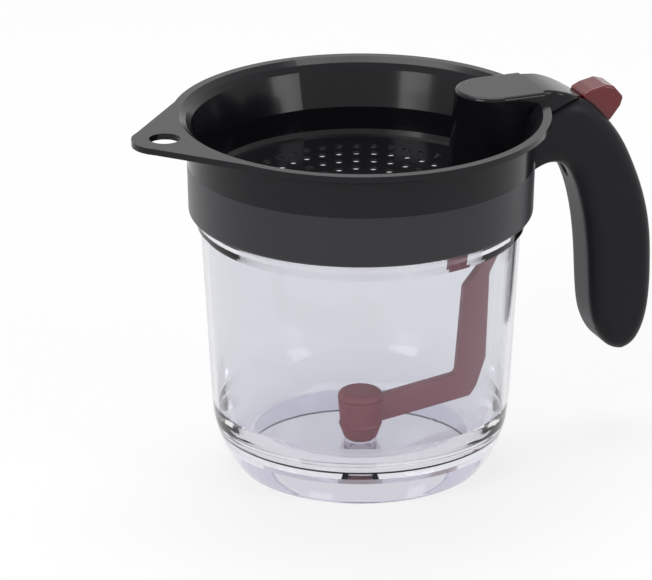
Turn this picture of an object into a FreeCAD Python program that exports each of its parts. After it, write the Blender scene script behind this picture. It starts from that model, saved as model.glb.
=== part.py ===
"""Gravy fat separator: a clear cup with a bottom drain, a strainer lid and a thumb lever in the handle.

Millimetres. +Z is up, the origin is on the cup's axis where the foot stands, +X points to the handle.
"""
import FreeCAD, Part
import math
import os

from FreeCAD import Vector

# Clearances
FIT = 0.05
RUNNING = 0.08
GAP = 0.35

# Cup
FOOT_R = 48.8
BASE_R = 59.4
BASE_Z = 27.0
BASE_BULGE = 2.3
WALL_TOP_R = 63.5
CUP_WALL = 2.3
BEAD_Z = 100.6
BEAD_R = 65.0
NECK_R = 66.6
NECK_WALL = 2.0
RIM_Z = 127.0
FLOOR_EDGE_Z = 13.5
FLOOR_CENTRE_Z = 8.8
FLOOR_THICK = 2.4
FOOT_RING_WALL = 3.8
SEAT_R = 5.7
BORE_R = 4.4
SEAT_DEPTH = 3.2
NOZZLE_WALL = 2.2
NOZZLE_Z = 2.4

# Collar
COLLAR_Z = 106.3
COLLAR_R = 68.2
COLLAR_DRAFT = 0.5
COLLAR_LIP = 2.0
COLLAR_EDGE = 1.6
TONGUE_END_X = 90.0
TONGUE_FLOOR = 4.0
TONGUE_HALF_W = 8.4
CHEEK_THICK = 2.6
CHEEK_TOP_Z = 138.6
CHEEK_END_X = 87.0

# Thumb lever
PIVOT_X = 80.0
PIVOT_Z = 134.6
PIVOT_PIN_R = 2.0
LINK_REACH = 23.0
LEVER_TRAVEL_DEG = 14.0
LEVER_THICK = 6.0
LEVER_HALF_W = 5.2
LEVER_HUB_R = 5.0

# Lifting arm
ARM_THICK = 4.4
ARM_WIDTH = 10.8
ARM_HEAD_WIDTH = 7.6
ARM_HEAD_X = 55.8
ARM_FOOT_X = 44.6
ARM_HEAD_TOP = 4.2
LINK_PIN_R = 1.5
SPIGOT_R = 4.2

# Drain plug
PLUG_R = 9.1
PLUG_TOP_Z = 29.6
PLUG_RING_Z = 26.2
PLUG_LIP_Z = 15.2
PLUG_LIP_R = 8.7

# Strainer lid
LID_RIM_Z = 146.0
LID_RIM_R = 75.0
LID_FLANGE = 2.5
LIP_R = 71.6
SKIRT_WALL = 2.6
SIEVE_Z = 116.4
SIEVE_THICK = 0.8
SIEVE_R = 60.8
SIEVE_HOLE_R = 1.7
CONE_FOOT_R = 62.8
SIEVE_PITCH = 7.0
SIEVE_RINGS = (10.0, 19.0, 28.0, 37.2, 45.6)
EAR_X = -82.2
EAR_R = 13.0
EAR_HOLE_R = 6.1
EAR_NECK_DEG = 49.0
TOWER_X = 55.5
TOWER_R = 14.3
TOWER_Z = 149.8
TOWER_DRAFT_DEG = 4.8
TOWER_WALL = 2.2
SADDLE_END_X = 93.6
SADDLE_SIDE_X = 76.0
SADDLE_HALF_W = 12.2

# Handle
HANDLE_HALF_W = 11.8
HANDLE_WALL = 2.6
HANDLE_ROUND = 6.0
COVER_HALF_W = 7.6
SCREW_R = 1.5
SCREW_HEAD_R = 2.8
SPRING_X = 93.6
SPRING_R = 3.2
SPRING_WIRE = 0.8
SPRING_TURNS = 6
SPRING_SEAT_Z = 120.6

# Thumb button
BUTTON_HALF_W = 6.6

NECK_IN_R = NECK_R - NECK_WALL
SKIRT_Z = RIM_Z + FIT
SKIRT_R = COLLAR_R + COLLAR_DRAFT
REST_RAD = math.radians(LEVER_TRAVEL_DEG / 2.0)
LINK_X = PIVOT_X - LINK_REACH * math.cos(REST_RAD)
LINK_Z = PIVOT_Z - LINK_REACH * math.sin(REST_RAD)
LIFT = 2.0 * LINK_REACH * math.sin(REST_RAD)


def xz(x, z, y=0.0):
    """A point in the plane of the handle."""
    return Vector(x, y, z)


def line(a, b):
    """A straight edge between two points."""
    return Part.LineSegment(a, b).toShape()


def arc(a, b, c):
    """An arc from a to c through b."""
    return Part.Arc(a, b, c).toShape()


def spline(points):
    """A smooth edge through the points."""
    curve = Part.BSplineCurve()
    curve.interpolate(points)
    return curve.toShape()


def face_of(edges):
    """A flat face inside a closed run of edges."""
    return Part.Face(Part.Wire(Part.__sortEdges__(edges)))


def turned(edges):
    """A body of revolution about the cup's axis from edges drawn in the XZ plane."""
    return face_of(edges).revolve(Vector(0, 0, 0), Vector(0, 0, 1), 360)


def polygon_edges(points):
    """Straight edges joining the points, closed."""
    return [line(xz(*a), xz(*b)) for a, b in zip(points, points[1:] + points[:1])]


def plate(edges, half_width):
    """A face in the XZ plane thickened evenly to both sides of it."""
    solid = face_of(edges).extrude(Vector(0, 2 * half_width, 0))
    solid.translate(Vector(0, -half_width, 0))
    return solid


def slab(points, half_width):
    """A polygon in the XZ plane thickened evenly to both sides of it."""
    return plate(polygon_edges(points), half_width)


def box(x0, x1, half_width, z0, z1):
    """A block centred on the plane of the handle."""
    return Part.makeBox(x1 - x0, 2 * half_width, z1 - z0, Vector(x0, -half_width, z0))


def rod(radius, x, z, half_length):
    """A rod across the handle."""
    return Part.makeCylinder(radius, 2 * half_length, Vector(x, -half_length, z), Vector(0, 1, 0))


def post(radius, x, z0, z1, y=0.0):
    """An upright rod."""
    return Part.makeCylinder(radius, z1 - z0, Vector(x, y, z0), Vector(0, 0, 1))


def rounded(solid, radius, wanted):
    """The solid with a fillet on the edges that the test picks."""
    edges = [edge for edge in solid.Edges if wanted(edge)]
    return solid.makeFillet(radius, edges) if edges else solid


def one(solid):
    """The single solid that a shape holds."""
    solids = solid.removeSplitter().Solids
    return max(solids, key=lambda item: item.Volume)


def bulged(a, b, sagitta):
    """The middle point of an arc from a to b that bulges outwards and down by the sagitta."""
    along = b.sub(a)
    out = Vector(-along.z, 0, along.x)
    out.normalize()
    if out.x < 0:
        out = out.negative()
    return a.add(b).multiply(0.5).add(out.multiply(sagitta))


def cup():
    """The clear cup: foot ring, sloping floor, drain nozzle, wall, bead and neck."""
    foot = xz(FOOT_R, 0)
    base = xz(BASE_R, BASE_Z)
    inner_base = xz(BASE_R - CUP_WALL, BASE_Z)
    floor_edge = xz(FOOT_R - FOOT_RING_WALL - 1.0, FLOOR_EDGE_Z)
    foot_in = FOOT_R - FOOT_RING_WALL
    seat_z = FLOOR_CENTRE_Z - SEAT_DEPTH
    path = [
        xz(WALL_TOP_R, BEAD_Z), xz(BEAD_R, BEAD_Z + 0.6), xz(BEAD_R, COLLAR_Z + COLLAR_LIP + FIT),
        xz(NECK_R, COLLAR_Z + COLLAR_LIP + FIT), xz(NECK_R, RIM_Z), xz(NECK_IN_R, RIM_Z),
        xz(NECK_IN_R, COLLAR_Z + COLLAR_LIP), xz(WALL_TOP_R - CUP_WALL, BEAD_Z - 2.0), inner_base,
    ]
    lower = [
        floor_edge, xz(SEAT_R, FLOOR_CENTRE_Z), xz(BORE_R, seat_z), xz(BORE_R, NOZZLE_Z),
        xz(BORE_R + NOZZLE_WALL, NOZZLE_Z), xz(BORE_R + NOZZLE_WALL, FLOOR_CENTRE_Z - FLOOR_THICK),
        xz(foot_in - 2.0, FLOOR_EDGE_Z - FLOOR_THICK), xz(foot_in - 0.6, FLOOR_EDGE_Z - FLOOR_THICK - 1.6),
        xz(foot_in, 0), foot,
    ]
    edges = [arc(foot, bulged(foot, base, BASE_BULGE), base), line(base, path[0])]
    edges += [line(a, b) for a, b in zip(path, path[1:])]
    edges.append(arc(inner_base, bulged(inner_base, floor_edge, BASE_BULGE * 0.8), floor_edge))
    edges += [line(a, b) for a, b in zip(lower, lower[1:])]
    solid = turned(edges)
    solid = rounded(solid, 0.8, lambda e: circle_at(e, NECK_R, RIM_Z) or circle_at(e, NECK_IN_R, RIM_Z))
    return rounded(solid, 1.2, lambda e: circle_at(e, FOOT_R, 0) or circle_at(e, foot_in, 0))


def circle_at(edge, radius, z):
    """Whether the edge is a level circle of this radius at this height."""
    curve = edge.Curve
    if curve.TypeId != "Part::GeomCircle":
        return False
    return abs(curve.Radius - radius) < 0.01 and abs(curve.Center.z - z) < 0.01


def collar_sleeve(z0, z1, r0, r1, inner):
    """A slightly drafted sleeve about the cup."""
    return turned(polygon_edges([(inner, z0), (r0, z0), (r1, z1), (inner, z1)]))


def collar():
    """The dark collar with the channel-shaped tongue that carries the handle and the lever."""
    sleeve = collar_sleeve(COLLAR_Z, RIM_Z, COLLAR_R, SKIRT_R, NECK_R + FIT)
    lip = collar_sleeve(COLLAR_Z, COLLAR_Z + COLLAR_LIP, COLLAR_R, COLLAR_R, BEAD_R + FIT)
    sleeve = rounded(sleeve.fuse(lip).removeSplitter(), COLLAR_EDGE, lambda e: circle_at(e, COLLAR_R, COLLAR_Z))
    floor = box(NECK_R, TONGUE_END_X, TONGUE_HALF_W, RIM_Z - TONGUE_FLOOR, RIM_Z)
    cheek_x = SKIRT_R + 2.4
    cheeks = box(cheek_x, CHEEK_END_X, TONGUE_HALF_W, RIM_Z - 1.0, CHEEK_TOP_Z)
    cheeks = cheeks.cut(box(cheek_x - 1, CHEEK_END_X + 1, TONGUE_HALF_W - CHEEK_THICK, RIM_Z, CHEEK_TOP_Z + 1))
    cheeks = rounded(cheeks, 3.0, lambda e: e.Length < 3.0 and e.BoundBox.ZMin > CHEEK_TOP_Z - 0.1
                     and e.BoundBox.XLength < 0.01)
    tongue = floor.fuse(cheeks).cut(post(NECK_R + FIT, 0, 0, TOWER_Z))
    tongue = tongue.cut(rod(PIVOT_PIN_R + FIT, PIVOT_X, PIVOT_Z, HANDLE_HALF_W))
    solid = sleeve.fuse(tongue)
    for x in handle_screw_xs():
        solid = solid.cut(post(SCREW_R, x, RIM_Z - TONGUE_FLOOR - 1, RIM_Z - 1.0))
    hook_screw = post(SCREW_R, hook_screw_x(), RIM_Z - TONGUE_FLOOR + 0.8, RIM_Z + 1)
    return one(solid.cut(hook_screw))


def handle_screw_xs():
    """Where the two screws that hold the handle to the tongue stand."""
    return (PIVOT_X - 0.6, TONGUE_END_X - 3.4)


def hook_screw_x():
    """Where the screw that holds the arm guide to the tongue stands."""
    return SKIRT_R + 4.2


def arm_guide():
    """The guide inside the neck that keeps the lifting arm upright, hooked over the rim."""
    left = ARM_HEAD_X - ARM_HEAD_WIDTH / 2
    right = ARM_HEAD_X + ARM_HEAD_WIDTH / 2
    half = ARM_THICK / 2 + RUNNING
    wall = 2.2
    bottom = RIM_Z - 23.0
    sleeve = box(left - wall - RUNNING, NECK_IN_R, half + wall, bottom, RIM_Z - 5.0)
    sleeve = sleeve.cut(box(left - RUNNING, right + RUNNING, half, bottom - 1, RIM_Z))
    riser = box(right + RUNNING + 0.6, NECK_IN_R, half + wall, RIM_Z - 5.0, RIM_Z + 1.0)
    hook = box(right + RUNNING + 0.6, hook_screw_x() + 3.4, half + wall, RIM_Z + FIT, RIM_Z + 1.8)
    blank = sleeve.fuse(riser).common(inside_neck(bottom, RIM_Z + 1.8)).fuse(hook)
    head = Part.makeCone(SCREW_R, SCREW_HEAD_R, 1.5, Vector(hook_screw_x(), 0, RIM_Z + 0.3))
    blank = blank.cut(head.fuse(post(SCREW_R + RUNNING, hook_screw_x(), RIM_Z - 1, RIM_Z + 2)))
    return one(blank)


def inside_neck(z0, z1):
    """The room inside the cup's neck, less a small clearance."""
    radius_low = WALL_TOP_R - CUP_WALL - FIT
    step = COLLAR_Z + COLLAR_LIP
    low = Part.makeCone(radius_low, NECK_IN_R - FIT, step - BEAD_Z + 2.0, Vector(0, 0, BEAD_Z - 2.0))
    high = post(NECK_IN_R - FIT, 0, step, z1)
    return low.fuse(high).common(post(NECK_IN_R, 0, z0, z1))


def guide_screw():
    """The countersunk screw of the arm guide."""
    x = hook_screw_x()
    head = Part.makeCone(SCREW_R, SCREW_HEAD_R, 1.5, Vector(x, 0, RIM_Z + 0.3))
    shank = post(SCREW_R, x, RIM_Z - TONGUE_FLOOR + 0.8, RIM_Z + 0.31)
    slot = box(x - SCREW_HEAD_R, x + SCREW_HEAD_R, 0.35, RIM_Z + 1.2, RIM_Z + 2.0)
    return one(head.fuse(shank).cut(slot))


def crown_points():
    """The handle's crown from the collar to its shoulder, under the lid's saddle."""
    return [xz(64, 134.4), xz(72, 138.2), xz(79, 141.8), xz(86, 144.2), xz(92, 143.2), xz(98, 139.2)]


def handle_ring(inset):
    """The points round the handle's side, in order, each moved inwards by the inset."""
    crown = crown_points()
    back = [xz(103, 133.6), xz(109.2, 125), xz(114.6, 114), xz(119.6, 100), xz(122.6, 85), xz(123.4, 70),
            xz(122.8, 54), xz(120.2, 42.6), xz(116.2, 36.2), xz(110.8, 33.6)]
    finger = [xz(105.4, 35.6), xz(101, 40.8), xz(98, 48), xz(96.6, 57), xz(95.6, 74), xz(94.2, 88),
              xz(91.6, 101), xz(88.4, 110.2), xz(84.4, 115.8), xz(78.6, 117.6), xz(72, 115.6), xz(64, 111.2)]
    ring = crown + back + finger
    moved = [ring[0].add(Vector(0, 0, -inset))]
    for before, here, after in zip(ring, ring[1:], ring[2:]):
        along = after.sub(before)
        inwards = Vector(along.z, 0, -along.x)
        inwards.normalize()
        moved.append(here.add(inwards.multiply(inset)))
    moved.append(ring[-1].add(Vector(0, 0, inset)))
    return moved


def handle_outline(inset=0.0):
    """The handle's side outline: crown, back, free lower tip, finger side and arch."""
    ring = handle_ring(inset)
    shoulder = len(crown_points()) - 1
    tip = shoulder + 10
    edges = [spline(ring[:shoulder + 1]), spline(ring[shoulder:tip + 1]), spline(ring[tip:]), line(ring[-1], ring[0])]
    return face_of(edges)


def handle_prism(inset, half_width):
    """The handle's outline thickened evenly to both sides."""
    solid = handle_outline(inset).extrude(Vector(0, 2 * half_width, 0))
    solid.translate(Vector(0, -half_width, 0))
    return solid


def handle_blank():
    """The handle's rounded outside, cut to the collar and the lid's skirt."""
    solid = handle_prism(0.0, HANDLE_HALF_W)
    solid = rounded(solid, HANDLE_ROUND, lambda e: e.BoundBox.YLength < 0.01 and e.BoundBox.XMax > 65)
    return solid.cut(collar_room())


def collar_room():
    """What the handle leaves free for the collar and for the lid's skirt above it."""
    low = Part.makeCone(COLLAR_R + FIT, SKIRT_R + FIT, RIM_Z - COLLAR_Z, Vector(0, 0, COLLAR_Z))
    high = post(SKIRT_R + 0.7, 0, RIM_Z, TOWER_Z)
    return low.fuse(high)


def handle_hollow():
    """The room inside the handle."""
    half = HANDLE_HALF_W - HANDLE_WALL
    solid = handle_prism(HANDLE_WALL, half)
    return solid.fuse(box(60, SKIRT_R + 5, half, RIM_Z - TONGUE_FLOOR - 0.4, 133.0))


def cover_side(half_width):
    """The stretch of the finger side and the arch that the inner cover takes."""
    return slab([(76.5, 100), (76.5, 121.6), (92.5, 121.6), (104.5, 80), (108, 44), (88, 44), (84, 100)],
                half_width)


def lever_room():
    """The slot in the handle's crown and shoulder that the lever and the button move in."""
    room = box(SKIRT_R - 4, 96.0, LEVER_HALF_W + GAP, PIVOT_Z - 4.0, TOWER_Z)
    for step in range(5):
        swept = button_prism(GAP + 0.15)
        swept.rotate(Vector(PIVOT_X, 0, PIVOT_Z), Vector(0, 1, 0), LEVER_TRAVEL_DEG * 1.03 * step / 4)
        room = room.fuse(swept)
    return room


def handle_shell():
    """The handle's outer shell."""
    shell = handle_blank().cut(handle_hollow())
    pocket = cover_side(COVER_HALF_W + FIT).cut(handle_prism(HANDLE_WALL + 1.0, HANDLE_HALF_W))
    shell = shell.cut(pocket)
    shell = shell.cut(lever_room())
    ledge = box(SKIRT_R + 1, TONGUE_END_X, TONGUE_HALF_W + FIT, RIM_Z - TONGUE_FLOOR - FIT, CHEEK_TOP_Z + FIT)
    shell = shell.cut(ledge)
    shell = shell.cut(rod(PIVOT_PIN_R + FIT, PIVOT_X, PIVOT_Z, HANDLE_HALF_W - 1.2))
    return one(shell)


def handle_cover():
    """The cover on the finger side and under the arch, with the spring's seat."""
    band = handle_blank().common(cover_side(COVER_HALF_W)).cut(handle_prism(HANDLE_WALL, HANDLE_HALF_W))
    seat = box(SPRING_X - SPRING_R - 1.8, SPRING_X + SPRING_R + 0.4, 4.0, 104.0, SPRING_SEAT_Z)
    seat = seat.common(handle_prism(HANDLE_WALL - 0.6, COVER_HALF_W))
    bosses = None
    for x in handle_screw_xs():
        boss = post(SCREW_HEAD_R + 1.1, x, 114.0, RIM_Z - TONGUE_FLOOR - FIT)
        bosses = boss if bosses is None else bosses.fuse(boss)
    bosses = bosses.common(handle_prism(0.6, COVER_HALF_W)).common(box(76.6, 100, COVER_HALF_W, 100, RIM_Z))
    solid = band.fuse(bosses).fuse(seat)
    solid = solid.cut(collar_room())
    for x in handle_screw_xs():
        solid = solid.cut(post(SCREW_R + RUNNING, x, 100, RIM_Z))
        solid = solid.cut(post(SCREW_HEAD_R + FIT, x, 100, head_z(x) + 2.2))
    return one(solid)


def head_z(x):
    """The height of the underside of a handle screw's head."""
    return 117.6 if x < PIVOT_X + 2 else 115.4


def handle_screw(x):
    """One of the two screws that hold the handle to the collar's tongue."""
    z = head_z(x)
    head = post(SCREW_HEAD_R, x, z, z + 2.2)
    head = head.cut(box(x - 2.0, x + 2.0, 0.4, z - 1, z + 0.8))
    head = head.cut(Part.makeBox(0.8, 4.0, 1.8, Vector(x - 0.4, -2.0, z - 1)))
    return one(head.fuse(post(SCREW_R, x, z + 2.0, RIM_Z - 1.0)))


def handle_screw_inner():
    """The screw nearer the cup."""
    return handle_screw(handle_screw_xs()[0])


def handle_screw_outer():
    """The screw nearer the handle's back."""
    return handle_screw(handle_screw_xs()[1])


def pivot_pin():
    """The steel pin that the lever turns on."""
    pin = rod(PIVOT_PIN_R, PIVOT_X, PIVOT_Z, HANDLE_HALF_W - 1.25)
    return pin.makeChamfer(0.4, [e for e in pin.Edges if e.Curve.TypeId == "Part::GeomCircle"])


def lever_point(reach, rise=0.0):
    """A point of the lever at rest, out along its inner arm and above its centre line."""
    c = math.cos(REST_RAD)
    s = math.sin(REST_RAD)
    return (PIVOT_X - reach * c - rise * s, PIVOT_Z - reach * s + rise * c)


def rocker_lever():
    """The lever: a fork about the arm's head, a hub on the pin and a tail under the button."""
    half = LEVER_THICK / 2
    inner = slab([lever_point(0, half), lever_point(LINK_REACH + 4.2, half * 0.8),
                  lever_point(LINK_REACH + 4.2, -half * 0.8), lever_point(0, -half)], LEVER_HALF_W)
    inner = rounded(inner, 1.6, lambda e: e.BoundBox.YLength > 5 and e.BoundBox.XMax < LINK_X - 2)
    tail = slab([lever_point(0, half), lever_point(-13.0, half + 0.4), lever_point(-17.4, half + 4.6),
                 lever_point(-24.6, half + 1.6), lever_point(-24.6, -half + 1.0), lever_point(-13.0, -half),
                 lever_point(0, -half)], LEVER_HALF_W - 0.6)
    hub = rod(LEVER_HUB_R, PIVOT_X, PIVOT_Z, LEVER_HALF_W)
    solid = inner.fuse(tail).fuse(hub)
    solid = solid.cut(rod(PIVOT_PIN_R + RUNNING, PIVOT_X, PIVOT_Z, LEVER_HALF_W + 1))
    fork = slab([lever_point(LINK_REACH - 6.4, half + 1), lever_point(LINK_REACH + 6, half + 1),
                 lever_point(LINK_REACH + 6, -half - 1), lever_point(LINK_REACH - 6.4, -half - 1)],
                ARM_THICK / 2 + GAP)
    solid = solid.cut(fork)
    play = LINK_REACH * (1 - math.cos(REST_RAD)) + RUNNING
    radius = LINK_PIN_R + RUNNING
    slot = None
    for step in (-1.0, 1.0):
        reach = LINK_REACH + step * (play + 0.1)
        centre = lever_point(reach)
        end = rod(radius, centre[0], centre[1], LEVER_HALF_W + 1)
        slot = end if slot is None else slot.fuse(end)
    a = LINK_REACH - play - 0.1
    b = LINK_REACH + play + 0.1
    slot = slot.fuse(slab([lever_point(a, radius), lever_point(b, radius), lever_point(b, -radius),
                           lever_point(a, -radius)], LEVER_HALF_W + 1))
    return one(solid.cut(slot))


def button_outline():
    """The thumb button's side outline."""
    return [(91.6, 143.6), (96.6, 145.8), (102.6, 147.0), (106.6, 145.8), (110.6, 141.0), (109.4, 137.4),
            (104.6, 131.4), (99.0, 133.4), (94.6, 140.4)]


def button_prism(grow=0.0):
    """The thumb button's body before its edges are rounded."""
    face = face_of(polygon_edges(button_outline()))
    if grow:
        face = face.makeOffset2D(grow, join=2)
    half = BUTTON_HALF_W + grow
    solid = face.extrude(Vector(0, 2 * half, 0))
    solid.translate(Vector(0, -half, 0))
    return solid


def thumb_button():
    """The red thumb button, a cap over the lever's tail."""
    solid = button_prism()
    solid = rounded(solid, 1.7, lambda e: e.BoundBox.YLength > 5)
    solid = rounded(solid, 1.2, lambda e: e.BoundBox.YLength < 0.01 and e.BoundBox.ZMin > 133.0)
    return one(solid.cut(rocker_tail_room()))


def rocker_tail_room():
    """The pocket in the button that grips the lever's tail."""
    half = LEVER_THICK / 2 + FIT
    points = [lever_point(-8.0, half), lever_point(-13.0, half + 0.4), lever_point(-17.4 + FIT, half + 4.6 + FIT),
              lever_point(-24.6 - FIT, half + 1.6 + FIT), lever_point(-24.6 - FIT, -half + 1.0),
              lever_point(-13.0, -half), lever_point(-8.0, -half)]
    return slab(points, LEVER_HALF_W - 0.6 + FIT)


def return_spring():
    """The spring that brings the button back up."""
    top = spring_top_z() - 0.1
    height = top - SPRING_SEAT_Z - SPRING_WIRE - 0.3
    helix = Part.makeHelix(height / SPRING_TURNS, height, SPRING_R - SPRING_WIRE / 2)
    centre = SPRING_R - SPRING_WIRE / 2
    section = Part.Wire(Part.makeCircle(SPRING_WIRE / 2, Vector(centre, 0, 0), Vector(0, 1, 0)))
    wire = Part.Wire(helix.Edges)
    coil = wire.makePipeShell([section], True, True)
    coil.translate(Vector(SPRING_X, 0, SPRING_SEAT_Z + SPRING_WIRE / 2 + 0.15))
    return coil if coil.ShapeType == "Solid" else coil.Solids[0]


def spring_top_z():
    """The height of the lever's underside over the spring."""
    reach = SPRING_X - PIVOT_X
    return PIVOT_Z + reach * math.tan(REST_RAD) - LEVER_THICK / 2 / math.cos(REST_RAD)


def lift_arm():
    """The L-shaped lifting arm: head with link pin, upright bar, foot bar and spigot in the plug."""
    left = ARM_HEAD_X - ARM_HEAD_WIDTH / 2
    right = ARM_HEAD_X + ARM_HEAD_WIDTH / 2
    head = LINK_Z + ARM_HEAD_TOP
    out = ARM_FOOT_X + ARM_WIDTH
    points = [(left, head), (right, head), (right, 79.0), (out + 0.4, 72.0), (out - 0.9, 36.0), (50.4, 24.6),
              (47.4, 20.4), (SPIGOT_R - 1, 14.4), (SPIGOT_R - 1, 25.4), (41.4, 30.6), (ARM_FOOT_X, 67.4),
              (left, 76.0)]
    bar = slab(points, ARM_THICK / 2)
    bar = rounded(bar, 2.2, lambda e: e.BoundBox.YLength > 4 and e.BoundBox.XMin > 40 and e.BoundBox.ZMax < 80)
    bar = rounded(bar, 2.6, lambda e: e.BoundBox.YLength > 4 and e.BoundBox.ZMin > head - 0.1)
    bar = rounded(bar, 0.7, lambda e: e.BoundBox.YLength < 0.01 and e.BoundBox.ZMax < 79.5
                  and e.BoundBox.XMin > PLUG_R + 0.5)
    spigot = post(SPIGOT_R, 0, 12.6, PLUG_RING_Z)
    barb = post(SPIGOT_R + 0.8, 0, 20.0, 22.0)
    solid = bar.fuse(spigot).fuse(barb)
    solid = solid.cut(rod(LINK_PIN_R + FIT / 2, LINK_X, LINK_Z, ARM_THICK))
    return one(solid)


def link_pin():
    """The pin through the arm's head that the lever's fork lifts."""
    pin = rod(LINK_PIN_R, LINK_X, LINK_Z, LEVER_HALF_W)
    return pin.makeChamfer(0.3, [e for e in pin.Edges if e.Curve.TypeId == "Part::GeomCircle"])


def silicone_plug():
    """The soft plug on the arm's spigot, with a domed cap, a flared lip and a tapered tip."""
    top = [xz(0, PLUG_TOP_Z), xz(PLUG_R - 2.6, PLUG_TOP_Z - 0.3), xz(PLUG_R, PLUG_RING_Z + 0.5)]
    edges = [line(top[0], top[1]), arc(top[1], xz(PLUG_R - 0.6, PLUG_TOP_Z - 1.4), top[2])]
    tip_z = FLOOR_CENTRE_Z - SEAT_DEPTH + 1.4
    slope = (SEAT_R - BORE_R) / SEAT_DEPTH
    tip_r = BORE_R + slope * 1.4 - 0.06
    side = [top[2], xz(PLUG_R, PLUG_RING_Z), xz(PLUG_R - 0.5, PLUG_RING_Z - 0.4), xz(PLUG_R - 0.1, PLUG_RING_Z - 0.9),
            xz(PLUG_R - 0.9, PLUG_LIP_Z + 1.2), xz(PLUG_LIP_R, PLUG_LIP_Z), xz(PLUG_LIP_R - 0.4, PLUG_LIP_Z - 0.9),
            xz(SEAT_R + 1.0, FLOOR_CENTRE_Z + 1.0), xz(SEAT_R - 0.1, FLOOR_CENTRE_Z + 0.12), xz(tip_r, tip_z),
            xz(0, tip_z), top[0]]
    edges += [line(a, b) for a, b in zip(side, side[1:])]
    solid = turned(edges)
    socket = post(SPIGOT_R + FIT, 0, 12.55, PLUG_RING_Z + FIT).fuse(post(SPIGOT_R + 0.8 + FIT, 0, 19.95, 22.05))
    window = slab([(0, 13.91), (20, 16.63), (20, 27.74), (0, 25.02)], ARM_THICK / 2 + FIT)
    return one(solid.cut(socket).cut(window))


def lid_profile():
    """Half section of the funnel, its flange, skirt and sieve floor."""
    floor_bottom = SIEVE_Z - SIEVE_THICK
    spigot_r = NECK_IN_R - 0.3
    return [(0, floor_bottom), (spigot_r - 0.4, floor_bottom), (spigot_r, floor_bottom + 1.2),
            (spigot_r, SKIRT_Z), (SKIRT_R, SKIRT_Z), (SKIRT_R + 0.2, LID_RIM_Z - LID_FLANGE - 2.6),
            (SKIRT_R + 2.8, LID_RIM_Z - LID_FLANGE), (LID_RIM_R, LID_RIM_Z - LID_FLANGE),
            (LID_RIM_R, LID_RIM_Z), (LIP_R, LID_RIM_Z), (LIP_R - 2.6, LID_RIM_Z - 1.8),
            (LIP_R - 4.4, LID_RIM_Z - 4.2), (CONE_FOOT_R, RIM_Z + 0.4), (SIEVE_R + 1.2, SIEVE_Z + 1.8),
            (SIEVE_R, SIEVE_Z), (0, SIEVE_Z)]


def ear():
    """The flat ear with its hanging hole."""
    z0 = LID_RIM_Z - LID_FLANGE
    a = math.radians(EAR_NECK_DEG)
    neck = (LID_RIM_R - 0.4) * math.cos(a), (LID_RIM_R - 0.4) * math.sin(a)
    b = math.radians(52.0)
    tip = EAR_X - EAR_R * math.cos(b), EAR_R * math.sin(b)
    edges = [
        line(Vector(-neck[0], neck[1], z0), Vector(tip[0], tip[1], z0)),
        arc(Vector(tip[0], tip[1], z0), Vector(EAR_X - EAR_R, 0, z0), Vector(tip[0], -tip[1], z0)),
        line(Vector(tip[0], -tip[1], z0), Vector(-neck[0], -neck[1], z0)),
        line(Vector(-neck[0], -neck[1], z0), Vector(-neck[0], neck[1], z0)),
    ]
    flat = face_of(edges).extrude(Vector(0, 0, LID_FLANGE)).cut(post(LIP_R + 1.0, 0, 0, TOWER_Z))
    return flat.cut(post(EAR_HOLE_R, EAR_X, 0, TOWER_Z))


def tower_plan(radius, z, end_x):
    """The tower's outline at one height: round towards the cup's axis, straight out to the rim."""
    left = Vector(TOWER_X, radius, z)
    right = Vector(TOWER_X, -radius, z)
    far_left = Vector(end_x, radius, z)
    far_right = Vector(end_x, -radius, z)
    edges = [line(far_left, left), arc(left, Vector(TOWER_X - radius, 0, z), right), line(right, far_right),
             line(far_right, far_left)]
    return Part.Wire(edges)


def tower_block(radius, top_z, bottom_z, end_x):
    """The drafted tower, or the room inside it."""
    foot = radius + (top_z - bottom_z) * math.tan(math.radians(TOWER_DRAFT_DEG))
    return Part.makeLoft([tower_plan(foot, bottom_z, end_x), tower_plan(radius, top_z, end_x)], True, True)


def saddle():
    """The saddle that runs from the tower out over the handle's crown."""
    root_half = TOWER_R - 0.9
    sides = [Vector(TOWER_X, root_half, 130), Vector(SADDLE_SIDE_X, SADDLE_HALF_W, 130),
             Vector(SADDLE_SIDE_X, -SADDLE_HALF_W, 130), Vector(TOWER_X, -root_half, 130)]
    plan = face_of([line(sides[0], sides[1]), arc(sides[1], Vector(SADDLE_END_X, 0, 130), sides[2]),
                    line(sides[2], sides[3]), line(sides[3], sides[0])])
    prism = plan.extrude(Vector(0, 0, 30))
    crown = crown_points()
    top = [line(xz(40, TOWER_Z), xz(73, TOWER_Z)),
           spline([xz(73, TOWER_Z), xz(81, 148.6), xz(88, 145.8), xz(98, 140.2)])]
    under = [line(xz(98, 140.2), xz(98, 128)), line(xz(98, 128), xz(40, 128)), line(xz(40, 128), xz(40, TOWER_Z))]
    body = prism.common(plate(top + under, 20))
    body = rounded(body, 1.4, lambda e: e.BoundBox.ZMin > 138 and e.BoundBox.XLength > 2)
    below = spline([p.add(Vector(0, 0, GAP)) for p in crown])
    a = crown[0].add(Vector(0, 0, GAP))
    b = crown[-1].add(Vector(0, 0, GAP))
    room = plate([below, line(b, xz(120, b.z)), line(xz(120, b.z), xz(120, 90)), line(xz(120, 90), xz(50, 90)),
                  line(xz(50, 90), xz(50, a.z)), line(xz(50, a.z), a)], 25)
    return body.cut(room).cut(post(SKIRT_R - SKIRT_WALL * 0.3, 0, 100, TOWER_Z + 1))


def lid_channel():
    """The way through the tower, the skirt and the saddle that the lever and the guide's hook take."""
    ceiling = TOWER_Z - TOWER_WALL - 0.15
    end_x = PIVOT_X + 2.0
    return slab([(TOWER_X + 1.5, 100), (TOWER_X + 1.5, ceiling), (SADDLE_SIDE_X - 3.0, ceiling),
                 (end_x, ceiling - 2.0), (end_x, 100)], LEVER_HALF_W + 1.6)


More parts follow.
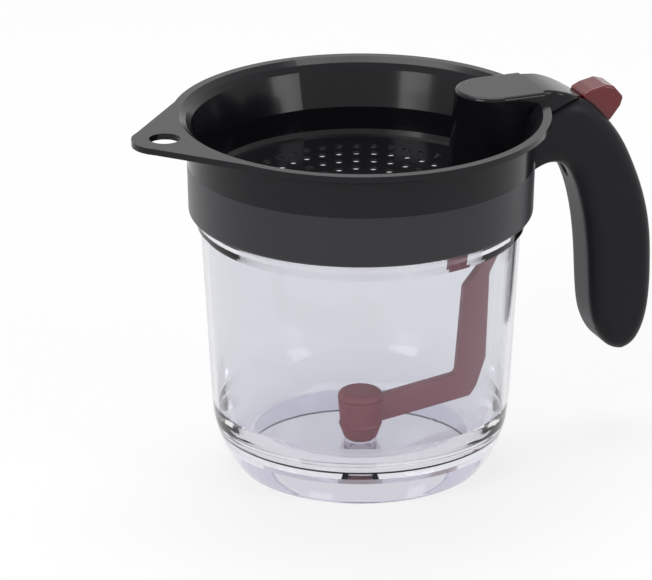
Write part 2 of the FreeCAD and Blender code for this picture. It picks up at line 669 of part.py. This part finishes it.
def strainer_lid():
    """The lid in one moulding: funnel, sieve floor, flange, skirt, ear, tower and saddle."""
    cavity = tower_block(TOWER_R - TOWER_WALL, TOWER_Z - TOWER_WALL, SIEVE_Z - SIEVE_THICK - 1, LID_RIM_R)
    cavity = cavity.common(post(NECK_IN_R - 2.4, 0, 100, TOWER_Z))
    channel = lid_channel()
    funnel = turned(polygon_edges(lid_profile()))
    funnel.rotate(Vector(0, 0, 0), Vector(0, 0, 1), 90)
    funnel = funnel.cut(sieve_holes()).cut(channel).cut(cavity)
    funnel = funnel.fuse(ear())
    tower = tower_block(TOWER_R, TOWER_Z, SIEVE_Z - SIEVE_THICK / 2, LID_RIM_R)
    tower = rounded(tower, 1.5, lambda e: e.BoundBox.ZMin > TOWER_Z - 0.01 and e.BoundBox.XMin < TOWER_X + 1)
    half_wall = SKIRT_WALL / 2
    reach = post(SKIRT_R - half_wall, 0, SKIRT_Z + 1.0, TOWER_Z + 1)
    reach = reach.fuse(post(NECK_IN_R - half_wall, 0, 100, SKIRT_Z + 1.0))
    reach = reach.fuse(post(LID_RIM_R - 1.0, 0, LID_RIM_Z - LID_FLANGE / 2, TOWER_Z + 1))
    tower = tower.common(reach).cut(cavity).cut(channel)
    return one(funnel.fuse(tower).fuse(saddle().cut(channel)))


def sieve_holes():
    """The drills of the sieve floor, in rings, clear of the tower."""
    z0 = SIEVE_Z - SIEVE_THICK - 1
    drills = [post(SIEVE_HOLE_R, 0, z0, SIEVE_Z + 1)]
    clear = TOWER_R + 3.2 + SIEVE_HOLE_R
    for index, ring in enumerate(SIEVE_RINGS):
        count = int(round(2 * math.pi * ring / SIEVE_PITCH))
        for k in range(count):
            angle = 2 * math.pi * (k + 0.5 * (index % 2)) / count
            x = ring * math.cos(angle)
            y = ring * math.sin(angle)
            if math.hypot(x - TOWER_X, y) > clear + 1.2:
                drills.append(post(SIEVE_HOLE_R, x, z0, SIEVE_Z + 1, y))
    return Part.makeCompound(drills)


PIECES = {
    "cup": cup,
    "collar": collar,
    "arm_guide": arm_guide,
    "guide_screw": guide_screw,
    "handle_shell": handle_shell,
    "handle_cover": handle_cover,
    "handle_screw_inner": handle_screw_inner,
    "handle_screw_outer": handle_screw_outer,
    "pivot_pin": pivot_pin,
    "rocker_lever": rocker_lever,
    "thumb_button": thumb_button,
    "return_spring": return_spring,
    "lift_arm": lift_arm,
    "link_pin": link_pin,
    "silicone_plug": silicone_plug,
    "strainer_lid": strainer_lid,
}


def main():
    """Build every piece and write it to its own file."""
    os.makedirs("parts", exist_ok=True)
    for name, make in PIECES.items():
        shape = make()
        box_of = shape.BoundBox
        print(f"{name:14s} solids {len(shape.Solids)} valid {shape.isValid()} volume {shape.Volume:10.1f} "
              f"x {box_of.XMin:7.2f} {box_of.XMax:7.2f} y {box_of.YMin:7.2f} {box_of.YMax:7.2f} "
              f"z {box_of.ZMin:7.2f} {box_of.ZMax:7.2f}")
        shape.exportStep(f"parts/{name}.step")


main()
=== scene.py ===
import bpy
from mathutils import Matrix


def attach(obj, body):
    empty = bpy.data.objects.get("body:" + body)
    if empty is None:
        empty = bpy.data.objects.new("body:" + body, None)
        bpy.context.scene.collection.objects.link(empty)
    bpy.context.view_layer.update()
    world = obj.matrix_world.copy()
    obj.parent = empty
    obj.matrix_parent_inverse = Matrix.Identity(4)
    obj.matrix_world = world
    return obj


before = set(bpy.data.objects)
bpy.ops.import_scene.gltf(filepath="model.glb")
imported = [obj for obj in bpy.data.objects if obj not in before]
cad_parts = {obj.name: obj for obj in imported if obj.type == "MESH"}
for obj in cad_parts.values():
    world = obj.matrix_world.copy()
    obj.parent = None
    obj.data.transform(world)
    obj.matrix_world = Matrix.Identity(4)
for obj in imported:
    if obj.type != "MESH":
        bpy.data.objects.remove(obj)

"""Gravy fat separator: finishes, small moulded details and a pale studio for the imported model."""
import logging
import math
from dataclasses import dataclass, field
from enum import Enum
from typing import Any

import bpy
from mathutils import Vector

LOG = logging.getLogger("fat_separator")
Colour = tuple[float, float, float, float]
Place = tuple[float, float, float]

# The mix node's colour sockets, by number because its other kinds of value use the same names
MIX_FACTOR = 0
MIX_FIRST_COLOUR = 6
MIX_SECOND_COLOUR = 7
MIX_COLOUR_RESULT = 2

# Octaves and scales of the noises on Object coordinates, and the strength of the grain's bump
FINE_DETAIL = 2.0
GLOSS_DETAIL = 3.0
GRAIN_SCALE = 2000.0
GLOSS_SCALE = 22.0
DRIFT_SCALE = 18.0
GRAIN_STRENGTH = 0.35

# The clear cup's refraction, and the heights in metres between which its foot takes the second colour, a
# painted shade that darkens the cup towards the floor
CLEAR_IOR = 1.35
PAINTED_FOOT_SHADE_TOP = 0.034
PAINTED_FOOT_SHADE_BOTTOM = 0.004

# The rays that see the background as white and the floor nearly so
SEEN_RAYS = ("Is Camera Ray", "Is Glossy Ray", "Is Transmission Ray")
WHITE: Colour = (1.0, 1.0, 1.0, 1.0)


class Surface(Enum):
    """How a finish treats light."""

    MOULDED = "moulded"
    CLEAR = "clear"
    DRAWN_METAL = "drawn_metal"


@dataclass(frozen=True)
class Finish:
    """One finish of the object, in the terms of its shader. The grain's depth is in metres."""

    name: str
    surface: Surface
    colour: Colour
    # The second colour: a slow random drift of tone, and on the clear cup a painted shade at its foot
    drift_and_foot_shade_colour: Colour
    roughness: float
    roughness_spread: float
    grain_scale: float
    grain_depth: float
    coat: float = 0.0
    coat_roughness: float = 0.05
    specular: float = 0.5


# The clear cup's second colour is a painted shade, darker and bluer towards its foot
CLEAR_CUP = Finish(
    "clear_cup", Surface.CLEAR, (0.815, 0.820, 0.850, 1.0), (0.735, 0.725, 0.800, 1.0),
    roughness=0.025, roughness_spread=0.02, grain_scale=60.0, grain_depth=0.00001)
SATIN_COLLAR = Finish(
    "satin_collar", Surface.MOULDED, (0.016, 0.016, 0.019, 1.0), (0.020, 0.020, 0.024, 1.0),
    roughness=0.34, roughness_spread=0.05, grain_scale=2600.0, grain_depth=0.00002, specular=0.32)
MATTE_HANDLE = Finish(
    "matte_handle", Surface.MOULDED, (0.0065, 0.0065, 0.008, 1.0), (0.009, 0.009, 0.011, 1.0),
    roughness=0.42, roughness_spread=0.06, grain_scale=2200.0, grain_depth=0.00003, specular=0.16)
MATTE_COVER = Finish(
    "matte_cover", Surface.MOULDED, (0.012, 0.013, 0.018, 1.0), (0.015, 0.016, 0.022, 1.0),
    roughness=0.42, roughness_spread=0.06, grain_scale=2200.0, grain_depth=0.00003, specular=0.3)
BLACK_LID = Finish(
    "black_lid", Surface.MOULDED, (0.0045, 0.0045, 0.006, 1.0), (0.006, 0.006, 0.008, 1.0),
    roughness=0.16, roughness_spread=0.04, grain_scale=900.0, grain_depth=0.00001,
    coat=0.05, coat_roughness=0.06, specular=0.20)
DARK_GUIDE = Finish(
    "dark_guide", Surface.MOULDED, (0.028, 0.028, 0.031, 1.0), (0.033, 0.033, 0.036, 1.0),
    roughness=0.42, roughness_spread=0.05, grain_scale=2200.0, grain_depth=0.00002)
DARK_LEVER = Finish(
    "dark_lever", Surface.MOULDED, (0.024, 0.024, 0.027, 1.0), (0.029, 0.029, 0.033, 1.0),
    roughness=0.40, roughness_spread=0.05, grain_scale=2200.0, grain_depth=0.00002)
RED_BUTTON = Finish(
    "red_button", Surface.MOULDED, (0.100, 0.0025, 0.005, 1.0), (0.125, 0.0035, 0.007, 1.0),
    roughness=0.20, roughness_spread=0.05, grain_scale=900.0, grain_depth=0.00001,
    coat=0.2, coat_roughness=0.06, specular=0.4)
MAROON_ARM = Finish(
    "maroon_arm", Surface.MOULDED, (0.290, 0.105, 0.130, 1.0), (0.330, 0.125, 0.152, 1.0),
    roughness=0.42, roughness_spread=0.06, grain_scale=1600.0, grain_depth=0.00002)
SOFT_PLUG = Finish(
    "soft_plug", Surface.MOULDED, (0.270, 0.078, 0.096, 1.0), (0.305, 0.092, 0.112, 1.0),
    roughness=0.58, roughness_spread=0.05, grain_scale=1800.0, grain_depth=0.00003)
DRAWN_STEEL = Finish(
    "drawn_steel", Surface.DRAWN_METAL, (0.60, 0.60, 0.61, 1.0), (0.50, 0.50, 0.52, 1.0),
    roughness=0.28, roughness_spread=0.08, grain_scale=1500.0, grain_depth=0.00002)
SPRING_WIRE = Finish(
    "spring_wire", Surface.DRAWN_METAL, (0.52, 0.52, 0.53, 1.0), (0.44, 0.44, 0.46, 1.0),
    roughness=0.30, roughness_spread=0.08, grain_scale=2500.0, grain_depth=0.00002)


def math_node(tree: bpy.types.NodeTree, operation: str) -> Any:
    """Adds a math node.

    Args:
        tree: The tree that the node goes into.
        operation: What it works out.

    Returns:
        The node.
    """
    node = tree.nodes.new("ShaderNodeMath")
    node.operation = operation
    return node


def add_object(name: str, data: bpy.types.ID) -> bpy.types.Object:
    """Adds an object to the scene, at the origin.

    Args:
        name: The object's name.
        data: Its mesh, lamp or camera.

    Returns:
        The object.
    """
    added = bpy.data.objects.new(name, data)
    bpy.context.scene.collection.objects.link(added)
    return added


class EffectGroups:
    """The shader effects that several finishes share, each built once as a node group."""

    def __init__(self) -> None:
        """Builds the three groups."""
        self.grain = self._grain_group()
        self.gloss = self._gloss_group()
        self.tone = self._tone_group()

    def _noise(self, tree: bpy.types.ShaderNodeTree, scale: bpy.types.NodeSocket, detail: float) -> Any:
        """Adds a noise on Object coordinates.

        Args:
            tree: The tree that the noise goes into.
            scale: The socket that gives its scale.
            detail: How many octaves it has.

        Returns:
            The noise node.
        """
        place = tree.nodes.new("ShaderNodeTexCoord")
        noise = tree.nodes.new("ShaderNodeTexNoise")
        noise.inputs["Detail"].default_value = detail
        tree.links.new(place.outputs["Object"], noise.inputs["Vector"])
        tree.links.new(scale, noise.inputs["Scale"])
        return noise

    def _tree(self, name: str, values: dict[str, float], output: str) -> tuple[Any, Any, Any]:
        """Starts a group.

        Args:
            name: The group's name.
            values: Its number inputs with their defaults.
            output: The name of its number output.

        Returns:
            The tree, its input node and its output node.
        """
        tree = bpy.data.node_groups.new(name, "ShaderNodeTree")
        for key, value in values.items():
            socket = tree.interface.new_socket(key, in_out="INPUT", socket_type="NodeSocketFloat")
            socket.default_value = value
        tree.interface.new_socket(output, in_out="OUTPUT", socket_type="NodeSocketFloat")
        return tree, tree.nodes.new("NodeGroupInput"), tree.nodes.new("NodeGroupOutput")

    def _grain_group(self) -> bpy.types.ShaderNodeTree:
        """Builds the fine grain of a moulded surface.

        Returns:
            The group, which puts out the grain's height.
        """
        tree, given, result = self._tree("moulded grain", {"Scale": GRAIN_SCALE}, "Height")
        noise = self._noise(tree, given.outputs["Scale"], FINE_DETAIL)
        tree.links.new(noise.outputs["Fac"], result.inputs["Height"])
        return tree

    def _gloss_group(self) -> bpy.types.ShaderNodeTree:
        """Builds the gloss of a surface that hands and washing have dulled here and there.

        Returns:
            The group, which puts out the roughness.
        """
        tree, given, result = self._tree(
            "handled gloss", {"Roughness": 0.4, "Spread": 0.05, "Scale": GLOSS_SCALE}, "Roughness")
        noise = self._noise(tree, given.outputs["Scale"], GLOSS_DETAIL)
        centred = math_node(tree, "SUBTRACT")
        centred.inputs[1].default_value = 0.5
        spread = math_node(tree, "MULTIPLY_ADD")
        tree.links.new(noise.outputs["Fac"], centred.inputs[0])
        tree.links.new(centred.outputs[0], spread.inputs[0])
        tree.links.new(given.outputs["Spread"], spread.inputs[1])
        tree.links.new(given.outputs["Roughness"], spread.inputs[2])
        tree.links.new(spread.outputs[0], result.inputs["Roughness"])
        return tree

    def _tone_group(self) -> bpy.types.ShaderNodeTree:
        """Builds the slow drift of a moulding's colour.

        Returns:
            The group, which puts out the mask that mixes the two colours.
        """
        tree, given, result = self._tree("tone drift", {"Scale": DRIFT_SCALE}, "Mask")
        noise = self._noise(tree, given.outputs["Scale"], FINE_DETAIL)
        tree.links.new(noise.outputs["Fac"], result.inputs["Mask"])
        return tree


@dataclass
class FinishShop:
    """Makes the materials and remembers them by finish."""

    effects: EffectGroups = field(default_factory=EffectGroups)
    made: dict[str, bpy.types.Material] = field(default_factory=dict)

    def _group(self, tree: bpy.types.ShaderNodeTree, effect: bpy.types.ShaderNodeTree,
               values: dict[str, float]) -> Any:
        """Places an effect in a material.

        Args:
            tree: The material's tree.
            effect: The effect's group.
            values: The values of the inputs that leave their defaults.

        Returns:
            The group node.
        """
        node = tree.nodes.new("ShaderNodeGroup")
        node.node_tree = effect
        for key, value in values.items():
            node.inputs[key].default_value = value
        return node

    def _mask(self, tree: bpy.types.ShaderNodeTree, finish: Finish) -> bpy.types.NodeSocket:
        """Adds the mask that mixes a finish's two colours.

        Args:
            tree: The material's tree.
            finish: The finish.

        Returns:
            The mask's socket: slow noise, or how near the clear cup's foot a point is, for the painted shade
            at the foot.
        """
        if finish.surface is not Surface.CLEAR:
            return self._group(tree, self.effects.tone, {}).outputs["Mask"]
        # Painted shade: the clear cup takes its darker, bluer second colour towards the foot
        place = tree.nodes.new("ShaderNodeTexCoord")
        split = tree.nodes.new("ShaderNodeSeparateXYZ")
        foot_shade_fade = tree.nodes.new("ShaderNodeMapRange")
        foot_shade_fade.inputs["From Min"].default_value = PAINTED_FOOT_SHADE_TOP
        foot_shade_fade.inputs["From Max"].default_value = PAINTED_FOOT_SHADE_BOTTOM
        tree.links.new(place.outputs["Object"], split.inputs[0])
        tree.links.new(split.outputs["Z"], foot_shade_fade.inputs["Value"])
        return foot_shade_fade.outputs["Result"]

    def _set_constants(self, shader: Any, finish: Finish) -> None:
        """Sets what doesn't change over a surface.

        Args:
            shader: The material's shader.
            finish: The finish.
        """
        shader.inputs["Specular IOR Level"].default_value = finish.specular
        shader.inputs["Coat Weight"].default_value = finish.coat
        shader.inputs["Coat Roughness"].default_value = finish.coat_roughness
        if finish.surface is Surface.CLEAR:
            shader.inputs["Transmission Weight"].default_value = 1.0
            shader.inputs["IOR"].default_value = CLEAR_IOR
        if finish.surface is Surface.DRAWN_METAL:
            shader.inputs["Metallic"].default_value = 1.0

    def _link_effects(self, tree: bpy.types.ShaderNodeTree, shader: Any, finish: Finish) -> None:
        """Links the colour, the gloss and the grain of a finish to its shader.

        Args:
            tree: The material's tree.
            shader: The material's shader.
            finish: The finish.
        """
        blend = tree.nodes.new("ShaderNodeMix")
        blend.data_type = "RGBA"
        blend.inputs[MIX_FIRST_COLOUR].default_value = finish.colour
        blend.inputs[MIX_SECOND_COLOUR].default_value = finish.drift_and_foot_shade_colour
        tree.links.new(self._mask(tree, finish), blend.inputs[MIX_FACTOR])
        tree.links.new(blend.outputs[MIX_COLOUR_RESULT], shader.inputs["Base Color"])
        gloss = self._group(tree, self.effects.gloss,
                            {"Roughness": finish.roughness, "Spread": finish.roughness_spread})
        tree.links.new(gloss.outputs["Roughness"], shader.inputs["Roughness"])
        grain = self._group(tree, self.effects.grain, {"Scale": finish.grain_scale})
        bump = tree.nodes.new("ShaderNodeBump")
        bump.inputs["Strength"].default_value = GRAIN_STRENGTH
        bump.inputs["Distance"].default_value = finish.grain_depth
        tree.links.new(grain.outputs["Height"], bump.inputs["Height"])
        tree.links.new(bump.outputs["Normal"], shader.inputs["Normal"])

    def material(self, finish: Finish) -> bpy.types.Material:
        """Gives the material of a finish, made once.

        Args:
            finish: The finish.

        Returns:
            Its material.
        """
        if finish.name in self.made:
            return self.made[finish.name]
        material = bpy.data.materials.new(finish.name)
        material.use_nodes = True
        shader = material.node_tree.nodes["Principled BSDF"]
        self._set_constants(shader, finish)
        self._link_effects(material.node_tree, shader, finish)
        self.made[finish.name] = material
        return material


@dataclass
class SubAssembly:
    """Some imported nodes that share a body, each with its finish."""

    name: str
    body: str
    finishes: dict[str, Finish]

    def dress(self, shop: FinishShop) -> None:
        """Gives every node its finish.

        Args:
            shop: Where the materials are made.
        """
        for node, finish in self.finishes.items():
            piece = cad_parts[node]
            material = shop.material(finish)
            for held in piece.material_slots:
                held.material = material
            LOG.info("%s: %s is %s", self.name, node, finish.name)


@dataclass
class StrainerLid(SubAssembly):
    """The strainer lid, with the raised rims of its sieve holes. Sizes are in metres.

    The holes stand on rings, about a pitch apart, and none is nearer to the tower's middle than tower_clear.
    """

    sieve_z: float = 0.1164
    hole_radius: float = 0.0017
    rim_radius: float = 0.00015
    path_steps: int = 14
    section_steps: int = 6
    rings: tuple[float, ...] = (0.010, 0.019, 0.028, 0.0372, 0.0456)
    pitch: float = 0.007
    tower_x: float = 0.0555
    tower_clear: float = 0.0203

    def hole_points(self) -> list[Place]:
        """Finds the sieve holes, in rings round a middle one and clear of the tower.

        Returns:
            The middle of every hole at the floor's upper face.
        """
        points = [(0.0, 0.0, self.sieve_z)]
        for index, ring in enumerate(self.rings):
            count = int(round(2 * math.pi * ring / self.pitch))
            for step in range(count):
                angle = 2 * math.pi * (step + 0.5 * (index % 2)) / count
                x, y = ring * math.cos(angle), ring * math.sin(angle)
                if math.hypot(x - self.tower_x, y) > self.tower_clear:
                    points.append((x, y, self.sieve_z))
        return points

    def _rim_tree(self, material: bpy.types.Material) -> bpy.types.GeometryNodeTree:
        """Builds the tree that puts a rim on every point.

        Args:
            material: The rims' material.

        Returns:
            The geometry node tree, with inputs for the hole's and the rim's radius.
        """
        tree = bpy.data.node_groups.new("sieve hole rims", "GeometryNodeTree")
        tree.interface.new_socket("Points", in_out="INPUT", socket_type="NodeSocketGeometry")
        for key, value in (("Hole Radius", self.hole_radius), ("Rim Radius", self.rim_radius)):
            socket = tree.interface.new_socket(key, in_out="INPUT", socket_type="NodeSocketFloat")
            socket.default_value = value
        tree.interface.new_socket("Rims", in_out="OUTPUT", socket_type="NodeSocketGeometry")
        given = tree.nodes.new("NodeGroupInput")
        result = tree.nodes.new("NodeGroupOutput")
        path_radius = math_node(tree, "ADD")
        path = tree.nodes.new("GeometryNodeCurvePrimitiveCircle")
        path.inputs["Resolution"].default_value = self.path_steps
        section = tree.nodes.new("GeometryNodeCurvePrimitiveCircle")
        section.inputs["Resolution"].default_value = self.section_steps
        sweep = tree.nodes.new("GeometryNodeCurveToMesh")
        spread = tree.nodes.new("GeometryNodeInstanceOnPoints")
        real = tree.nodes.new("GeometryNodeRealizeInstances")
        paint = tree.nodes.new("GeometryNodeSetMaterial")
        paint.inputs["Material"].default_value = material
        tree.links.new(given.outputs["Hole Radius"], path_radius.inputs[0])
        tree.links.new(given.outputs["Rim Radius"], path_radius.inputs[1])
        tree.links.new(path_radius.outputs[0], path.inputs["Radius"])
        tree.links.new(given.outputs["Rim Radius"], section.inputs["Radius"])
        tree.links.new(path.outputs["Curve"], sweep.inputs["Curve"])
        tree.links.new(section.outputs["Curve"], sweep.inputs["Profile Curve"])
        tree.links.new(given.outputs["Points"], spread.inputs["Points"])
        tree.links.new(sweep.outputs["Mesh"], spread.inputs["Instance"])
        tree.links.new(spread.outputs["Instances"], real.inputs["Geometry"])
        tree.links.new(real.outputs["Geometry"], paint.inputs["Geometry"])
        tree.links.new(paint.outputs["Geometry"], result.inputs["Rims"])
        return tree

    def add_rims(self, shop: FinishShop) -> None:
        """Adds the raised rims round the sieve holes, as one plain mesh that rides on the lid.

        Args:
            shop: Where the materials are made.
        """
        holes = self.hole_points()
        cloud = bpy.data.meshes.new("sieve_points")
        cloud.from_pydata(holes, [], [])
        holder = add_object("sieve_points", cloud)
        modifier = holder.modifiers.new("rims", "NODES")
        modifier.node_group = self._rim_tree(shop.material(BLACK_LID))
        bpy.context.view_layer.update()
        baked = bpy.data.meshes.new_from_object(holder.evaluated_get(bpy.context.evaluated_depsgraph_get()))
        holder.modifiers.remove(modifier)
        bpy.data.objects.remove(holder)
        baked.shade_smooth()
        rims = add_object("sieve_hole_rims", baked)
        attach(rims, self.body)
        LOG.info("%s: %d rims", self.name, len(holes))


@dataclass(frozen=True)
class SoftBox:
    """A rectangular lamp: where it stands and its size in metres, and its power in watts."""

    name: str
    place: Place
    size: tuple[float, float]
    watts: float


@dataclass
class Studio:
    """A pale floor, plain soft light and the photograph's camera.

    Lengths are in metres and angles in radians, apart from the values whose names end in px or mm.
    """

    distance: float = 2.0
    height: float = 0.832
    turn: float = math.radians(22.0)
    yaw: float = 0.0069
    pitch: float = 0.3633
    focal_px: float = 5375.0
    picture_width_px: float = 652.0
    sensor_mm: float = 36.0
    clip_end: float = 60.0
    aim_height: float = 0.08
    soft_boxes: tuple[SoftBox, ...] = (
        SoftBox("left_soft_box", (-1.35, -0.75, 1.0), (0.7, 1.0), 15.0),
        SoftBox("right_soft_box", (1.0, -1.5, 0.9), (0.6, 1.0), 10.0),
        SoftBox("overhead_soft_box", (0.1, 0.5, 1.7), (1.2, 0.9), 17.0),
    )
    world_colour: Colour = (0.93, 0.95, 1.0, 1.0)
    world_strength: float = 0.38
    floor_reach: float = 9.0
    floor_colour: Colour = (0.86, 0.86, 0.87, 1.0)
    floor_roughness: float = 0.6
    floor_whiteness: float = 0.78

    def add_camera(self) -> None:
        """Places the camera of the photograph."""
        right = Vector((math.cos(self.turn), -math.sin(self.turn), 0.0))
        ahead = Vector((math.sin(self.turn), math.cos(self.turn), 0.0))
        level = ahead * math.cos(self.yaw) - right * math.sin(self.yaw)
        look = level * math.cos(self.pitch) - Vector((0.0, 0.0, math.sin(self.pitch)))
        data = bpy.data.cameras.new("photo_camera")
        data.sensor_fit = "HORIZONTAL"
        data.sensor_width = self.sensor_mm
        data.lens = self.focal_px / self.picture_width_px * self.sensor_mm
        data.clip_end = self.clip_end
        camera = add_object("photo_camera", data)
        camera.location = -ahead * self.distance + Vector((0.0, 0.0, self.height))
        camera.rotation_euler = look.to_track_quat("-Z", "Y").to_euler()
        bpy.context.scene.camera = camera

    def add_lamps(self) -> None:
        """Adds the two side soft boxes and the large one overhead, aimed at the object's middle."""
        middle = Vector((0.0, 0.0, self.aim_height))
        for box in self.soft_boxes:
            data = bpy.data.lights.new(box.name, "AREA")
            data.shape = "RECTANGLE"
            data.size, data.size_y = box.size
            data.energy = box.watts
            lamp = add_object(box.name, data)
            lamp.location = box.place
            lamp.rotation_euler = (middle - Vector(box.place)).to_track_quat("-Z", "Y").to_euler()

    def _seen_as_white(self, tree: bpy.types.NodeTree) -> bpy.types.NodeSocket:
        """Tells the rays that see the studio from those that light the object.

        Args:
            tree: The tree that needs it.

        Returns:
            The socket that gives 1 for the first and 0 for the second.
        """
        path = tree.nodes.new("ShaderNodeLightPath")
        seen = path.outputs[SEEN_RAYS[0]]
        for ray in SEEN_RAYS[1:]:
            either = math_node(tree, "MAXIMUM")
            tree.links.new(seen, either.inputs[0])
            tree.links.new(path.outputs[ray], either.inputs[1])
            seen = either.outputs[0]
        return seen

    def add_world(self) -> None:
        """Lights the object with a plain pale world that is seen as white."""
        world = bpy.data.worlds.new("pale_world")
        world.use_nodes = True
        tree = world.node_tree
        lit = tree.nodes["Background"]
        lit.inputs["Color"].default_value = self.world_colour
        lit.inputs["Strength"].default_value = self.world_strength
        seen = tree.nodes.new("ShaderNodeBackground")
        seen.inputs["Color"].default_value = WHITE
        mix = tree.nodes.new("ShaderNodeMixShader")
        tree.links.new(self._seen_as_white(tree), mix.inputs[0])
        tree.links.new(lit.outputs[0], mix.inputs[1])
        tree.links.new(seen.outputs[0], mix.inputs[2])
        tree.links.new(mix.outputs[0], tree.nodes["World Output"].inputs["Surface"])
        bpy.context.scene.world = world

    def _floor_material(self) -> bpy.types.Material:
        """Builds the floor's material, seen nearly white but for the object's shadow.

        Returns:
            The material.
        """
        material = bpy.data.materials.new("pale_floor")
        material.use_nodes = True
        tree = material.node_tree
        paper = tree.nodes["Principled BSDF"]
        paper.inputs["Base Color"].default_value = self.floor_colour
        paper.inputs["Roughness"].default_value = self.floor_roughness
        glow = tree.nodes.new("ShaderNodeEmission")
        glow.inputs["Color"].default_value = WHITE
        share = math_node(tree, "MULTIPLY")
        share.inputs[1].default_value = self.floor_whiteness
        mix = tree.nodes.new("ShaderNodeMixShader")
        tree.links.new(self._seen_as_white(tree), share.inputs[0])
        tree.links.new(share.outputs[0], mix.inputs[0])
        tree.links.new(paper.outputs[0], mix.inputs[1])
        tree.links.new(glow.outputs[0], mix.inputs[2])
        tree.links.new(mix.outputs[0], tree.nodes["Material Output"].inputs["Surface"])
        return material

    def add_floor(self) -> None:
        """Adds the pale floor."""
        reach = self.floor_reach
        corners = [(-reach, -reach, 0), (reach, -reach, 0), (reach, reach, 0), (-reach, reach, 0)]
        mesh = bpy.data.meshes.new("floor")
        mesh.from_pydata(corners, [], [(0, 1, 2, 3)])
        mesh.materials.append(self._floor_material())
        floor = add_object("floor", mesh)

    def build(self) -> None:
        """Sets up the camera, the lamps, the world and the floor."""
        self.add_camera()
        self.add_lamps()
        self.add_world()
        self.add_floor()
        bpy.context.scene.view_settings.view_transform = "Standard"


def main() -> None:
    """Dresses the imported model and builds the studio."""
    logging.basicConfig(level=logging.INFO, format="%(message)s")
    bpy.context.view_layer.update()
    Studio().build()
    shop = FinishShop()
    cup = SubAssembly("cup", "cup_body", {"cup": CLEAR_CUP})
    collar = SubAssembly("collar", "cup_body", {
        "collar": SATIN_COLLAR, "arm_guide": DARK_GUIDE, "guide_screw": DRAWN_STEEL})
    handle = SubAssembly("handle", "cup_body", {
        "handle_shell": MATTE_HANDLE, "handle_cover": MATTE_COVER, "handle_screw_inner": DRAWN_STEEL,
        "handle_screw_outer": DRAWN_STEEL, "pivot_pin": DRAWN_STEEL, "return_spring": SPRING_WIRE})
    lever = SubAssembly("lever", "lever_body", {"rocker_lever": DARK_LEVER, "thumb_button": RED_BUTTON})
    arm = SubAssembly("arm", "arm_body", {
        "lift_arm": MAROON_ARM, "link_pin": DRAWN_STEEL, "silicone_plug": SOFT_PLUG})
    lid = StrainerLid("lid", "lid_body", {"strainer_lid": BLACK_LID})
    for assembly in (cup, collar, handle, lever, arm, lid):
        assembly.dress(shop)
    lid.add_rims(shop)


if __name__ == "__main__":
    main()
